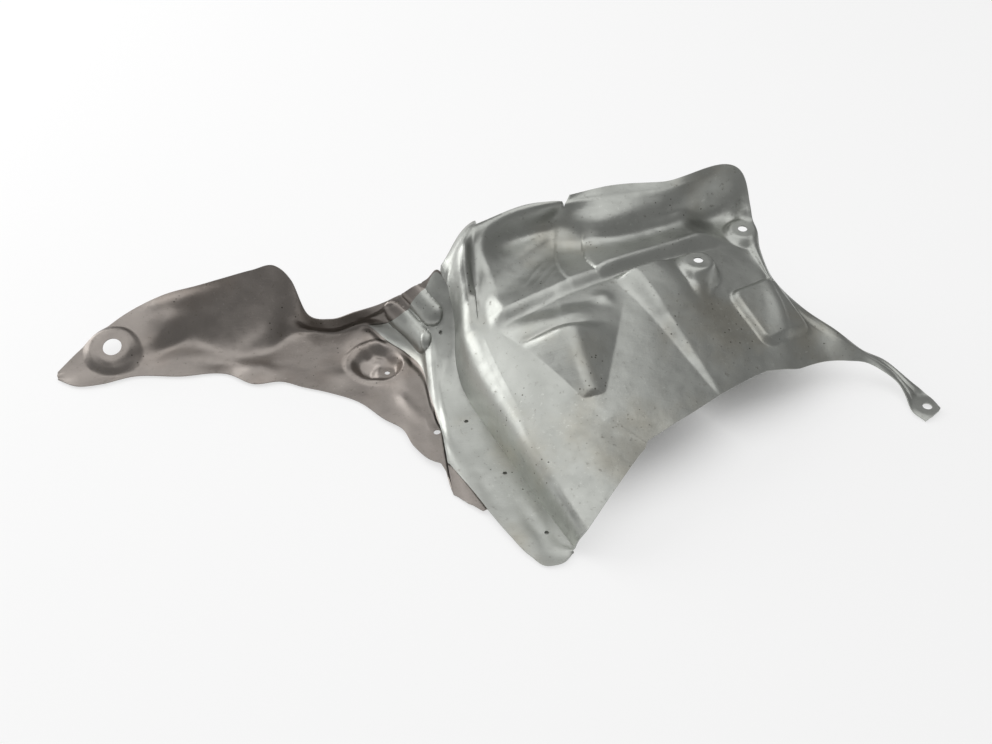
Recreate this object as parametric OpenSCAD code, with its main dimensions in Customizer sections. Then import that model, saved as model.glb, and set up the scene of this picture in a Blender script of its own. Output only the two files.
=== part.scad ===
/* [Overall] */
// Length from the arm's tip to the strap's end
length = 642; // [600:2:700]
// Depth from the front corner to the rear skirt
depth = 312; // [280:2:340]
// Height of the rear wall above the floor
height = 108; // [90:1:120]

/* [Sheet] */
// Thickness of both pressed sheets
sheet_t = 1; // [0.8:0.1:1.4]
// Gap left between the two sheets where they lap
lap_gap = 1; // [0.8:0.1:1.4]
// Share of the flange's width that the panel's tongue reaches under it
tongue_reach = 0.6; // [0.5:0.02:0.7]

/* [Fixing holes] */
// Bolt holes in the panel and in the strap's end
bolt_hole_d = 7; // [5:0.5:9]
// Hole over the stud at the arm's tip
stud_hole_d = 14; // [10:0.5:16]
// Drain hole in the arm's oval cup
drain_hole_d = 4; // [3:0.5:5]
// Spare hole at the arm's lap
spare_hole_d = 5; // [4:0.5:6]

/* [Clinch joints] */
// Outer diameter of a clinched cup
clinch_d = 5; // [4:0.5:6]
// Depth of a cup below the arm's sheet
clinch_depth = 2.5; // [2:0.25:4]
// Clearance round a cup in the tongue
clinch_play = 0.3; // [0.2:0.1:0.6]

/* [Pressed forms] */
// Rise of the long stepped tube cover
tube_h = 11; // [6:0.5:14]
// Rise of the half-cone nose
nose_h = 11; // [6:0.5:14]
// Rise of the long step's upper end
step_h = 8; // [4:0.5:10]
// Rise of the square pad
pad_h = 4; // [2:0.5:6]
// Rise of the boss round the middle bolt hole
boss_h = 4; // [2:0.5:6]
// Rise of the two beads on the arm
bead_h = 4; // [2:0.5:6]
// Depth of the oval cup in the arm
cup_h = 5; // [3:0.5:7]
// Rise of the round dish at the arm's tip
dish_h = 3; // [1:0.5:5]

/* [Hidden] */

lift = sheet_t + lap_gap;

// The lists below hold the shield's chosen stations, in millimetres at the nominal overall sizes.
nominal = [642, 312, 108];
// Foot of the panel's long wall, from the front corner to the rear.
foot = [[51, -180, 2], [10, -103, 8], [-28, -24, 25], [-30, 4, 48], [-35, 20, 66], [-37, 26, 72], [-42, 62, 2]];
// Sections across the panel, from its left shoulder to the strap's end. Each runs from the front edge
// over the plateau, the crease before the tube cover and the foot of the rear wall to the rear edge.
panel_sections = [
    [[60, -178, 20], [24, -110, 40], [-11, -22, 60], [-15, 8, 73], [-17, 32, 90], [-15, 53, 95], [-14, 95, 1]],
    [[77, -153, 28], [43, -107, 46], [13, -19, 66], [14, 34, 70], [8, 54, 82], [18, 68, 100], [20, 112, 0]],
    [[99, -119, 33], [63, -94, 50], [40, -13, 71], [38, 58, 71], [38, 68, 86], [46, 73, 102], [47, 118, 0]],
    [[106, -116, 33], [70, -90, 51], [48, -8, 73], [46, 58, 71], [48, 68, 87], [50, 72, 97], [54, 79, 104]],
    [[127, -104, 34], [98, -72, 52], [81, 10, 75], [78, 57, 72], [77, 63, 91], [80, 76, 99], [84, 91, 104]],
    [[161, -76, 33], [135, -40, 52], [121, 30, 75], [121, 73, 71], [120, 79, 90], [122, 88, 98], [124, 98, 103]],
    [[191, -50, 30], [193, 5, 48], [182, 60, 66], [180, 95, 71], [181, 103, 79], [184, 108, 90], [187, 112, 100]],
    [[206, -38, 28], [206, 6, 46], [194, 50, 61], [192, 66, 68], [192, 78, 71], [193, 84, 72], [194, 88, 73]],
    [[218, -27, 26], [216, 0, 38], [210, 25, 48], [207, 34, 51], [205, 40, 53], [204, 44, 54], [202, 50, 55]],
    [[240, -14, 22], [236, -4, 28], [232, 8, 34], [230, 13, 36], [229, 17, 38], [228, 20, 39], [226, 25, 40]],
    [[256, -11, 20], [254, -5, 24], [252, 0, 27], [251, 3, 29], [250, 5, 30], [249, 7, 31], [248, 10, 32]],
    [[273, -10, 16], [272, -7, 18], [271, -5, 19], [270, -3, 20], [270, -2, 20], [269, -1, 20], [268, 1, 20]],
    [[290, -21, 10], [289, -17, 11], [288, -14, 12], [287, -11, 13], [286, -9, 13], [286, -7, 14], [285, -4, 14]],
    [[296, -34, 5], [298, -31, 5], [299, -29, 6], [300, -27, 6], [300, -25, 6], [301, -23, 7], [302, -20, 7]],
    [[299, -47, 1], [302, -44, 1], [305, -41, 1], [308, -38, 1], [310, -36, 1], [312, -34, 1], [314, -31, 2]],
    [[306, -55, 0], [309, -53, 0], [312, -51, 0], [314, -49, 0], [316, -47, 0], [317, -46, 0], [319, -43, 0]]];
// Steps of the sheet between one section and the next, and between one station of a section and the next.
panel_rows = [5, 5, 2, 5, 7, 9, 3, 2, 2, 2, 2, 2, 2, 2, 1];
panel_stations = [6, 9, 8, 5, 3, 3];
tongue_rows = 4;
shoulder_rows = 5;

// Sections across the arm, from its tip to the lap. Each runs from the front edge over the floor to
// the top of the wall.
arm_body = [
    [[-322, -10, 1], [-322, -9, 1], [-323, -7, 2], [-323, -6, 2], [-323, -4, 3]],
    [[-308, -17, 1], [-306, -12, 2], [-305, -5, 4], [-306, 3, 8], [-308, 11, 12]],
    [[-290, -15, 1], [-289, -8, 2], [-287, 2, 6], [-285, 18, 14], [-282, 37, 22]],
    [[-266, -6, 1], [-264, 0, 3], [-262, 9, 7], [-258, 28, 18], [-253, 50, 32]],
    [[-233, -6, 1], [-231, 10, 4], [-230, 27, 7], [-227, 40, 24], [-222, 54, 40]],
    [[-200, -3, 1], [-200, 8, 3], [-198, 20, 6], [-192, 40, 26], [-184, 59, 50]],
    [[-177, -15, 1], [-176, 0, 4], [-172, 20, 6], [-168, 42, 28], [-166, 62, 52]],
    [[-158, -12, 1], [-157, 8, 3], [-156, 32, 7], [-155, 42, 24], [-154, 54, 45]],
    [[-141, -18, 1], [-140, 4, 3], [-140, 34, 8], [-141, 35, 17], [-141, 36, 26]],
    [[-122, -24, 1], [-121, 0, 3], [-121, 31, 8], [-122, 33, 16], [-124, 34, 23]],
    [[-100, -34, 1], [-100, -4, 4], [-101, 31, 15], [-103, 32, 24], [-106, 32, 31]],
    [[-80, -54, 2], [-78, -18, 7], [-82, 17, 16], [-83, 25, 29], [-86, 29, 41]],
    [[-66, -66, 3], [-64, -30, 9], [-66, 4, 15], [-66, 15, 32], [-68, 28, 52]],
    [[-57, -84, 3], [-54, -48, 8], [-53, -14, 14], [-53, 4, 34], [-52, 28, 64]],
    [[-44, -99, 4], [-46, -72, 7], [-47, -42, 11], [-50, 0, 33], [-41, 27, 72]]];
// Where the arm's flange lies along the panel's foot: the station of the foot that each section meets,
// and the section's own points from the flange's free edge.
flange_stations = [3.8, 3.3, 2.8, 2.3, 1.9, 1.4, 0.9, 0.5, 0.22, 0.08, 0];
flange_points = [
    [[-38, -100, 5], [-41, -78, 7], [-43, -54, 10], [-46, -3, 33]],
    [[-33, -103, 5], [-36, -84, 7], [-39, -60, 10], [-43, -13, 27]],
    [[-28, -110, 5], [-31, -94, 7], [-35, -68, 10], [-40, -25, 21]],
    [[-23, -118, 5], [-26, -102, 7], [-31, -76, 9], [-37, -36, 17]],
    [[-18, -126, 5], [-21, -108, 7], [-26, -82, 9], [-32, -47, 14]],
    [[-4, -149, 4], [-6, -131, 5], [-9, -111, 7], [-12, -88, 9]],
    [[9, -169, 3], [10, -154, 4], [11, -140, 5], [12, -126, 6]],
    [[22, -186, 2], [24, -175, 3], [26, -164, 3], [28, -153, 4]],
    [[35, -194, 1], [37, -187, 1], [39, -180, 2], [41, -173, 2]],
    [[45, -190, 1], [46, -186, 1], [46, -182, 2], [47, -178, 2]],
    [[49, -184, 1], [50, -183, 1], [50, -182, 2], [50, -181, 2]]];
arm_rows = [2, 3, 3, 4, 4, 3, 3, 3, 3, 3, 3, 3, 2, 2, 1, 2, 2, 2, 1, 3, 2, 2, 2, 1, 1];
arm_stations = [3, 3, 3, 4];

// Centres of the holes, each with the slope of its land along x and y, and the flat land's width.
right_hole = [185, 80, 73, 0, 0.1, 5];
middle_hole = [146, 30, 80, 0, 0, 6];
strap_hole = [310, -41, 2, 0, 0, 5];
stud_hole = [-284, 11, 15, 0, 0.45, 3];
drain_hole = [-80, -6, 4, 0, 0.1, 3];
spare_hole = [-41, -74, 10, 0.1, 0.15, 3];
// Width over which a hole's flat land blends into the sheet.
land_blend = 8;

// Clinches along the flange: the station of the foot and the share of the way in from the free edge.
clinches = [[0.37, 0.65], [1.03, 0.77], [1.61, 0.79], [3.39, 0.85]];

// Places of the pressed forms on the plan.
tube_line = [[9, -22], [176, 67]];
tube_start = -15;
tube_steps = [50, 74];
tube_end = [160, 192];
tube_flank = 10;
nose_edge = [[4, -36], [51, -84]];
nose_far_edge = [[88, 2], [66, -86]];
nose_tip = [66, -90];
nose_crease = [[12, -43], [50, -40]];
step_foot = [[92, -4], [154, -74]];
step_face = 15;
pad_centre = [198, 13];
pad_size = [48, 48];
pad_turn = 34.8;
pad_corner = 9;
boss_centre = [147, 21];
boss_size = [11, 19];
upper_bead = [[-60, 35], [-47, 22]];
lower_bead = [[-80, 30], [-58, 8]];
bead_w = 9;
cup_centre = [-88, 0];
cup_size = [21, 15];
cup_turn = -24;
dish_size = [20, 17];

function curve(p, u) =
    let(n = len(p) - 1, i = max(0, min(n - 1, floor(u))), f = u - i,
        a = p[max(0, i - 1)], b = p[i], c = p[i + 1], d = p[min(n, i + 2)])
    b + 0.5 * f * ((c - a) + f * ((2 * a - 5 * b + 4 * c - d) + f * (3 * (b - c) + d - a)));
function unit(v) = v / norm(v);
function smooth(low, high, v) = let(t = max(0, min(1, (v - low) / (high - low)))) t * t * (3 - 2 * t);
// A rise with a sharp foot and a round top.
function round_up(width, v) = let(t = max(0, min(1, v / width))) sqrt(t * (2 - t));
function soft_min(a, b, k) = let(h = max(0, k - abs(a - b)) / k) min(a, b) - h * h * k / 4;
// Distance of a plan point to the left of a line, and its distance along it.
function left_of(p, line) =
    let(d = unit(line[1] - line[0])) d[0] * (p[1] - line[0][1]) - d[1] * (p[0] - line[0][0]);
function along(p, line) = [p[0] - line[0][0], p[1] - line[0][1]] * unit(line[1] - line[0]);
// A plan point in the frame of a turned form.
function local(p, centre, turn) =
    let(x = p[0] - centre[0], y = p[1] - centre[1])
    [x * cos(turn) + y * sin(turn), y * cos(turn) - x * sin(turn)];
function oval(p, size) = norm([p[0] / size[0], p[1] / size[1]]);
// Distance inside a rectangle with round corners.
function inside_pad(p, size, r) =
    let(x = abs(p[0]) - size[0] / 2 + r, y = abs(p[1]) - size[1] / 2 + r)
    r - norm([max(0, x), max(0, y)]) - min(0, max(x, y));
function steps(counts, first) = [
    for (k = [0:len(counts) - 1]) for (j = [0:counts[k] - 1]) first + k + j / counts[k],
    first + len(counts)];

// Rise of the long tube cover: a sloped left end, two rounded steps and a fade to the right.
function tube_form(p) =
    let(u = along(p, tube_line), v = left_of(p, tube_line), across = 0.007 * pow(max(0, v) - 5, 2))
    (0.55 * smooth(0, 15, u - tube_start - 0.2 * v)
        + 0.1 * smooth(0, 4, u - tube_steps[0] - across)
        + 0.35 * round_up(16, u - tube_steps[1] - across))
    * round_up(tube_flank, v + 1) * (1 - smooth(tube_end[0], tube_end[1], u));
// The half-cone nose: four sloping faces that meet in a ridge.
function nose_form(p) =
    let(faces = soft_min(
            soft_min(0.5 * left_of(p, nose_edge), -0.6 * left_of(p, nose_far_edge), 3),
            soft_min(1.3 * along(p, [nose_tip, nose_crease[1]]), nose_h, 3), 3))
    max(0, faces) * smooth(-3, 12, -left_of(p, nose_crease));
// The long step: its face narrows and its height falls to nothing at the front.
function step_form(p) =
    let(q = max(0, min(1, along(p, step_foot) / norm(step_foot[1] - step_foot[0]))),
        right = left_of(p, step_foot), width = step_face * (1 - q) + 3)
    (1 - q) * smooth(0, width, right) * (1 - smooth(25, 70, right))
    * smooth(1, 9, -left_of(p, tube_line));
function pad_form(p) = smooth(0, 5, inside_pad(local(p, pad_centre, pad_turn), pad_size, pad_corner));
function boss_form(p) = 1 - smooth(0.45, 1, oval(local(p, boss_centre, 0), boss_size));
// The panel's left end: a bead along the wall and a groove behind it.
function ring_form(s, t) =
    smooth(2.7, 3.1, t) * (1 - smooth(4.2, 4.8, t))
    * (3 * smooth(0.3, 0.6, s) * (1 - smooth(0.7, 1, s)) - 4 * smooth(0.75, 1, s) * (1 - smooth(1, 1.35, s)));

function bead_form(p, line) =
    let(l = norm(line[1] - line[0]), u = max(0, min(l, along(p, line))),
        d = norm([p[0], p[1]] - line[0] - u * unit(line[1] - line[0])))
    sqrt(max(0, 1 - pow(d / bead_w, 2)));
function cup_form(p) =
    let(r = oval(local(p, cup_centre, cup_turn), cup_size))
    0.2 * smooth(1.35, 1.1, r) - 1.2 * smooth(1.05, 0.55, r);
function dish_form(p) =
    let(r = oval([p[0] - stud_hole[0], p[1] - stud_hole[1]], dish_size)) smooth(1.15, 0.8, r);

// The height of a sheet at a plan point, blended into the flat land round a hole.
function landed(p, hole, d) =
    let(dx = p[0] - hole[0], dy = p[1] - hole[1], r = d / 2 + hole[5],
        w = 1 - smooth(r, r + land_blend, norm([dx, dy])))
    [p[0], p[1], p[2] + w * (hole[2] + hole[3] * dx + hole[4] * dy - p[2])];
function on_floor(p) = [p[0], p[1], max(0, p[2])];
function scaled(p) = [p[0] * length / nominal[0], p[1] * depth / nominal[1], p[2] * height / nominal[2]];

arm_sections = concat(arm_body,
    [for (k = [0:len(flange_points) - 1]) concat(flange_points[k], [curve(foot, flange_stations[k])])]);
arm_lines = [for (k = [0:4]) [for (r = arm_sections) r[k]]];
first_flange = len(arm_body);
last_flange = len(arm_sections) - 1;
function arm_net(s, t) = curve([for (line = arm_lines) curve(line, s)], t);
function arm_point(s, t) =
    let(p = arm_net(s, t),
        q = p + [0, 0, bead_h * (bead_form(p, upper_bead) + bead_form(p, lower_bead))
            + cup_h * cup_form(p) + dish_h * dish_form(p)])
    scaled(landed(landed(landed(q, stud_hole, stud_hole_d), drain_hole, drain_hole_d), spare_hole, spare_hole_d));
function arm_normal(s, t) =
    unit(cross(arm_point(s + 0.05, t) - arm_point(s - 0.05, t), arm_point(s, t + 0.05) - arm_point(s, t - 0.05)));
// The arm's section that meets the foot at a station.
function flange_row(station) =
    lookup(-station, [for (k = [0:len(flange_stations) - 1]) [-flange_stations[k], first_flange + k]]);
// A point of the panel under the arm's flange.
function under_flange(s, t) = arm_point(s, t) - lift * arm_normal(s, min(3.9, t));
function panel_foot(t) =
    let(last = flange_stations[0] - 0.01, u = min(t, last), s = flange_row(u),
        run = scaled(curve(foot, u + 0.05)) - scaled(curve(foot, u - 0.05)))
    under_flange(s, 4) + 1.5 * lift * unit(cross(run, arm_normal(s, 3.9)))
    + scaled(curve(foot, t)) - scaled(curve(foot, u));
// The tongue reaches furthest where its corner shows beyond the flange's free edge.
function reach(t) =
    0.02 + (0.19 + (tongue_reach - 0.21) * (1 - smooth(1.7, 2.6, t))
        + 0.55 * smooth(0.8, 1.25, t) * (1 - smooth(1.4, 1.9, t))) * (1 - smooth(3.3, 3.85, t));
function tongue_point(s, t) =
    let(w = -s * reach(t), row = flange_row(min(t, flange_stations[0])))
    w <= 1 && t < flange_stations[0] ? mix(panel_foot(t), under_flange(row, 4 - 4 * min(w, 1)), min(1, -s * 4))
    : t < flange_stations[0]
    ? let(edge = under_flange(row, 0.1), out = unit(edge - under_flange(row, 0.6)))
        edge + (w - 1) * 45 * out - [0, 0, (w - 1) * 6]
    : panel_foot(t) - [2, 1, 1] * -s;
function mix(a, b, t) = a + (b - a) * t;
function shoulder_point(s, t) =
    let(a = panel_foot(t), b = scaled(curve(panel_sections[0], t)), turn = 90 * s)
    [mix(a[0], b[0], 1 - cos(turn)), mix(a[1], b[1], 1 - cos(turn)), mix(a[2], b[2], sin(turn))];
panel_lines = [for (k = [0:6]) [for (r = panel_sections) r[k]]];
function plateau_point(s, t) =
    let(p = curve([for (line = panel_lines) curve(line, s - 1)], t),
        q = p + [0, 0, tube_h * tube_form(p) * (1 - smooth(3, 4, t)) + nose_form(p)
            + step_h * step_form(p) + pad_h * pad_form(p) + boss_h * boss_form(p)])
    scaled(on_floor(landed(landed(landed(q, right_hole, bolt_hole_d), middle_hole, bolt_hole_d),
        strap_hole, bolt_hole_d)));
function panel_point(s, t) =
    (s < 0 ? tongue_point(s, t) : s < 1 ? shoulder_point(s, t) : plateau_point(s, t)) + [0, 0, ring_form(s, t)];

// Closed sheet on a grid of points, half the thickness to each side.
module sheet(grid, thickness) {
    m = len(grid);
    n = len(grid[0]);
    function at(i, j) = grid[max(0, min(m - 1, i))][max(0, min(n - 1, j))];
    function normal(i, j) = unit(cross(at(i + 1, j) - at(i - 1, j), at(i, j + 1) - at(i, j - 1)));
    top = [for (i = [0:m - 1]) for (j = [0:n - 1]) at(i, j) + normal(i, j) * thickness / 2];
    low = [for (i = [0:m - 1]) for (j = [0:n - 1]) at(i, j) - normal(i, j) * thickness / 2];
    o = m * n;
    function id(i, j) = i * n + j;
    faces = concat(
        [for (i = [0:m - 2]) for (j = [0:n - 2]) each [
            [id(i, j), id(i, j + 1), id(i + 1, j + 1)], [id(i, j), id(i + 1, j + 1), id(i + 1, j)],
            [o + id(i, j), o + id(i + 1, j + 1), o + id(i, j + 1)],
            [o + id(i, j), o + id(i + 1, j), o + id(i + 1, j + 1)]]],
        [for (i = [0:m - 2]) each [
            [id(i, 0), id(i + 1, 0), o + id(i + 1, 0)], [id(i, 0), o + id(i + 1, 0), o + id(i, 0)],
            [id(i + 1, n - 1), id(i, n - 1), o + id(i, n - 1)],
            [id(i + 1, n - 1), o + id(i, n - 1), o + id(i + 1, n - 1)]]],
        [for (j = [0:n - 2]) each [
            [id(0, j + 1), id(0, j), o + id(0, j)], [id(0, j + 1), o + id(0, j), o + id(0, j + 1)],
            [id(m - 1, j), id(m - 1, j + 1), o + id(m - 1, j + 1)],
            [id(m - 1, j), o + id(m - 1, j + 1), o + id(m - 1, j)]]]);
    polyhedron(concat(top, low), faces, convexity = 8);
}

// Turns +Z to a direction at a point.
module facing(p, n) {
    translate(p) rotate([0, acos(n[2]), atan2(n[1], n[0])]) children();
}
module bore(hole, d) {
    facing(scaled(hole), unit([-hole[3], -hole[4], 1])) cylinder(d = d, h = 12, center = true, $fn = 48);
}
module at_clinches() {
    for (c = clinches)
        let(s = flange_row(c[0]), t = 4 * c[1])
        facing(arm_point(s, t), arm_normal(s, t)) children();
}

module main_panel() {
    color([0.62, 0.63, 0.61])
    difference() {
        sheet([for (s = concat([for (k = [0:tongue_rows - 1]) k / tongue_rows - 1],
                [for (k = [0:shoulder_rows - 1]) k / shoulder_rows], steps(panel_rows, 1)))
            [for (t = steps(panel_stations, 0)) panel_point(s, t)]], sheet_t);
        bore(right_hole, bolt_hole_d);
        bore(middle_hole, bolt_hole_d);
        bore(strap_hole, bolt_hole_d);
        at_clinches() cylinder(d = clinch_d + 2 * clinch_play, h = 12, center = true, $fn = 32);
        notch();
    }
}

// The slit behind the plateau, where the rear skirt ends and the rear flange begins.
module notch() {
    translate([0, 0, -5]) linear_extrude(height + 20)
        polygon([[50, 72], [57, 84], [70, 96], [70, 140], [36, 140], [46, 84]]);
}

module side_arm() {
    color([0.55, 0.51, 0.48])
    difference() {
        union() {
            difference() {
                sheet([for (s = steps(arm_rows, 0)) [for (t = steps(arm_stations, 0)) arm_point(s, t)]], sheet_t);
                at_clinches() cylinder(d = clinch_d - sheet_t, h = 6, center = true, $fn = 32);
            }
            at_clinches() clinch_cup();
        }
        bore(stud_hole, stud_hole_d);
        bore(drain_hole, drain_hole_d);
        bore(spare_hole, spare_hole_d);
    }
}

// Drawn cup that holds the two sheets together.
module clinch_cup() {
    translate([0, 0, -clinch_depth - sheet_t / 2])
    difference() {
        cylinder(d = clinch_d, h = clinch_depth + sheet_t * 0.9, $fn = 32);
        translate([0, 0, sheet_t]) cylinder(d = clinch_d - 2 * sheet_t, h = clinch_depth + sheet_t, $fn = 32);
    }
}

module shield_frame() {
    translate([2, 38, sheet_t]) children();
}

shield_frame() main_panel();
shield_frame() side_arm();
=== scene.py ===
import math

import bmesh
import bpy
import numpy as np
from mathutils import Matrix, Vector


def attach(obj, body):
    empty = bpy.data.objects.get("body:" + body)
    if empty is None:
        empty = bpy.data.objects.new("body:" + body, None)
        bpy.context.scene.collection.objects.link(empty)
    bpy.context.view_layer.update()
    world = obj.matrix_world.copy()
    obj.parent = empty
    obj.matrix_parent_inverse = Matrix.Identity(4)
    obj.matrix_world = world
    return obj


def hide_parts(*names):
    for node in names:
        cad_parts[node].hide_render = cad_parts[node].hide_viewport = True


# Sizes in millimetres. The shield's own frame is moved to the row's frame by PLACE.
MM = 0.001
SHEET_T = 1.0
LAP_GAP = 0.8
LIFT = SHEET_T + LAP_GAP
PLACE = np.array([2.0, 38.0, 1.0])

# Foot of the panel's long wall, from the front corner to the rear.
FOOT = [[51, -180, 2], [10, -103, 8], [-28, -24, 25], [-30, 4, 48], [-35, 20, 66], [-37, 26, 72],
        [-42, 62, 2]]
# Sections across the panel, from its left shoulder to the strap's end. Each runs from the front edge
# over the plateau, the crease before the tube cover and the foot of the rear wall to the rear edge.
PANEL_SECTIONS = [
    [[60, -178, 20], [24, -110, 40], [-11, -22, 60], [-15, 8, 73],
     [-17, 32, 90], [-15, 53, 95], [-14, 95, 1]],
    [[77, -153, 28], [43, -107, 46], [13, -19, 66], [14, 34, 70], [8, 54, 82], [18, 68, 100], [20, 112, 0]],
    [[99, -119, 33], [63, -94, 50], [40, -13, 71], [38, 58, 71], [38, 68, 86], [46, 73, 102], [47, 118, 0]],
    [[106, -116, 33], [70, -90, 51], [48, -8, 73], [46, 58, 71], [48, 68, 87], [50, 72, 97], [54, 79, 104]],
    [[127, -104, 34], [98, -72, 52], [81, 10, 75], [78, 57, 72], [77, 63, 91], [80, 76, 99], [84, 91, 104]],
    [[161, -76, 33], [135, -40, 52], [121, 30, 75], [121, 73, 71],
     [120, 79, 90], [122, 88, 98], [124, 98, 103]],
    [[191, -50, 30], [193, 5, 48], [182, 60, 66], [180, 95, 71],
     [181, 103, 79], [184, 108, 90], [187, 112, 100]],
    [[206, -38, 28], [206, 6, 46], [194, 50, 61], [192, 66, 68], [192, 78, 71], [193, 84, 72], [194, 88, 73]],
    [[218, -27, 26], [216, 0, 38], [210, 25, 48], [207, 34, 51], [205, 40, 53], [204, 44, 54], [202, 50, 55]],
    [[240, -14, 22], [236, -4, 28], [232, 8, 34], [230, 13, 36], [229, 17, 38], [228, 20, 39], [226, 25, 40]],
    [[256, -11, 20], [254, -5, 24], [252, 0, 27], [251, 3, 29], [250, 5, 30], [249, 7, 31], [248, 10, 32]],
    [[273, -10, 16], [272, -7, 18], [271, -5, 19], [270, -3, 20], [270, -2, 20], [269, -1, 20], [268, 1, 20]],
    [[290, -21, 10], [289, -17, 11], [288, -14, 12], [287, -11, 13],
     [286, -9, 13], [286, -7, 14], [285, -4, 14]],
    [[296, -34, 5], [298, -31, 5], [299, -29, 6], [300, -27, 6], [300, -25, 6], [301, -23, 7], [302, -20, 7]],
    [[299, -47, 1], [302, -44, 1], [305, -41, 1], [308, -38, 1], [310, -36, 1], [312, -34, 1], [314, -31, 2]],
    [[306, -55, 0], [309, -53, 0], [312, -51, 0], [314, -49, 0], [316, -47, 0], [317, -46, 0], [319, -43, 0]]]
# Sections across the arm, from its tip to the lap, from the front edge to the top of the wall.
ARM_SECTIONS = [
    [[-322, -10, 1], [-322, -9, 1], [-323, -7, 2], [-323, -6, 2], [-323, -4, 3]],
    [[-308, -17, 1], [-306, -12, 2], [-305, -5, 4], [-306, 3, 8], [-308, 11, 12]],
    [[-290, -15, 1], [-289, -8, 2], [-287, 2, 6], [-285, 18, 14], [-282, 37, 22]],
    [[-266, -6, 1], [-264, 0, 3], [-262, 9, 7], [-258, 28, 18], [-253, 50, 32]],
    [[-233, -6, 1], [-231, 10, 4], [-230, 27, 7], [-227, 40, 24], [-222, 54, 40]],
    [[-200, -3, 1], [-200, 8, 3], [-198, 20, 6], [-192, 40, 26], [-184, 59, 50]],
    [[-177, -15, 1], [-176, 0, 4], [-172, 20, 6], [-168, 42, 28], [-166, 62, 52]],
    [[-158, -12, 1], [-157, 8, 3], [-156, 32, 7], [-155, 42, 24], [-154, 54, 45]],
    [[-141, -18, 1], [-140, 4, 3], [-140, 34, 8], [-141, 35, 17], [-141, 36, 26]],
    [[-122, -24, 1], [-121, 0, 3], [-121, 31, 8], [-122, 33, 16], [-124, 34, 23]],
    [[-100, -34, 1], [-100, -4, 4], [-101, 31, 15], [-103, 32, 24], [-106, 32, 31]],
    [[-80, -54, 2], [-78, -18, 7], [-82, 17, 16], [-83, 25, 29], [-86, 29, 41]],
    [[-66, -66, 3], [-64, -30, 9], [-66, 4, 15], [-66, 15, 32], [-68, 28, 52]],
    [[-57, -84, 3], [-54, -48, 8], [-53, -14, 14], [-53, 4, 34], [-52, 28, 64]],
    [[-44, -99, 4], [-46, -72, 7], [-47, -42, 11], [-50, 0, 33], [-41, 27, 72]]]
# The lap, where the panel's flange lies on the arm's tail: the station of the foot that each section
# meets, and its points from the flange's free edge.
FLANGE_STATIONS = [3.8, 3.3, 2.8, 2.3, 1.9, 1.4, 0.9, 0.5, 0.22, 0.08, 0]
FLANGE_POINTS = [
    [[-38, -100, 5], [-41, -78, 7], [-43, -54, 10], [-46, -3, 33]],
    [[-33, -103, 5], [-36, -84, 7], [-39, -60, 10], [-43, -13, 27]],
    [[-28, -110, 5], [-31, -94, 7], [-35, -68, 10], [-40, -25, 21]],
    [[-23, -118, 5], [-26, -102, 7], [-31, -76, 9], [-37, -36, 17]],
    [[-18, -126, 5], [-21, -108, 7], [-26, -82, 9], [-32, -47, 14]],
    [[-4, -149, 4], [-6, -131, 5], [-9, -111, 7], [-12, -88, 9]],
    [[9, -169, 3], [10, -154, 4], [11, -140, 5], [12, -126, 6]],
    [[22, -186, 2], [24, -175, 3], [26, -164, 3], [28, -153, 4]],
    [[35, -194, 1], [37, -187, 1], [39, -180, 2], [41, -173, 2]],
    [[45, -190, 1], [46, -186, 1], [46, -182, 2], [47, -178, 2]],
    [[49, -184, 1], [50, -183, 1], [50, -182, 2], [50, -181, 2]]]

# Steps of the fine grids between one section or station and the next.
PANEL_ROWS = [32, 32, 10, 36, 42, 46, 24, 20, 12, 10, 10, 10, 10, 8, 6]
PANEL_STATIONS = [44, 76, 56, 26, 10, 8]
SHOULDER_ROWS = 32
ARM_ROWS = [14, 20, 20, 26, 26, 20, 20, 24, 24, 26, 28, 24, 18, 18, 12, 12, 12, 12, 8, 16, 12, 10]
ARM_STATIONS = [30, 30, 34, 40]
FLANGE_ROWS = [8, 8, 10, 14, 14, 24, 8, 12, 12, 16, 16, 16, 16, 16, 16, 10]
FLANGE_SHARES = 90
# A sheet's lower face takes one point in this many of its upper face's.
COARSE = 3

# Holes: place, slope of the flat land along x and y, and diameter.
HOLES = {
    "right": ([185, 80, 73], [0, 0.1], 7),
    "middle": ([146, 30, 80], [0, 0], 7),
    "strap": ([310, -41, 2], [0, 0], 7),
    "stud": ([-284, 11, 15], [0, 0.45], 14),
    "drain": ([-80, -6, 4], [0, 0.1], 4),
    "spare": ([-41, -74, 6], [0.1, 0.15], 5),
}
# Width of the flat land round a hole. The spare hole has none.
LANDS = {"right": 5, "middle": 6, "strap": 5, "stud": 3, "drain": 3}
LAND_BLEND = 8
# Clinches: the station of the foot, and the share of the way in from the flange's free edge.
CLINCHES = [[0.37, 0.65], [1.03, 0.77], [1.61, 0.79], [3.39, 0.85]]
CLINCH_D = 5
CLINCH_DEPTH = 2.5
CLINCH_PLAY = 0.3
# Depth of the dimple in a clinch, in walls of the cup, and how far the cup stands in the sheet.
DIMPLE = 1.2
CUP_SEAT = 0.9
# Drills and the notch's tool reach past the sheets by this much.
REACH = 5
TOOL_TOP = 130
# Free edge of the flange's wedge, which lies in the arm's trough: section and station of the arm.
WEDGE_EDGE = [[16, 0], [16, 1], [15.6, 1.8], [14.5, 2.1], [13, 2], [12, 2], [11, 2.05], [10.3, 2.3]]
WEDGE_BULGE = 0.55
# How far the arm's tail stands out beyond the flange's free edge, against the arm's section, and the
# station where it starts further in.
TAIL_OUT = [[14, 0], [15, 3], [15.5, 9], [16, 27], [17, 25], [18, 21], [19, 15], [20, 0]]
TAIL_IN = [[19.6, 0], [20.6, 0.7], [22, 0.9]]
TAIL_STOP = 3.75
NOTCH = [[50, 72], [57, 84], [70, 96], [70, 140], [36, 140], [46, 84]]
# The section at the notch, where the panel's back edge starts afresh.
NOTCH_SECTION = 4
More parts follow.
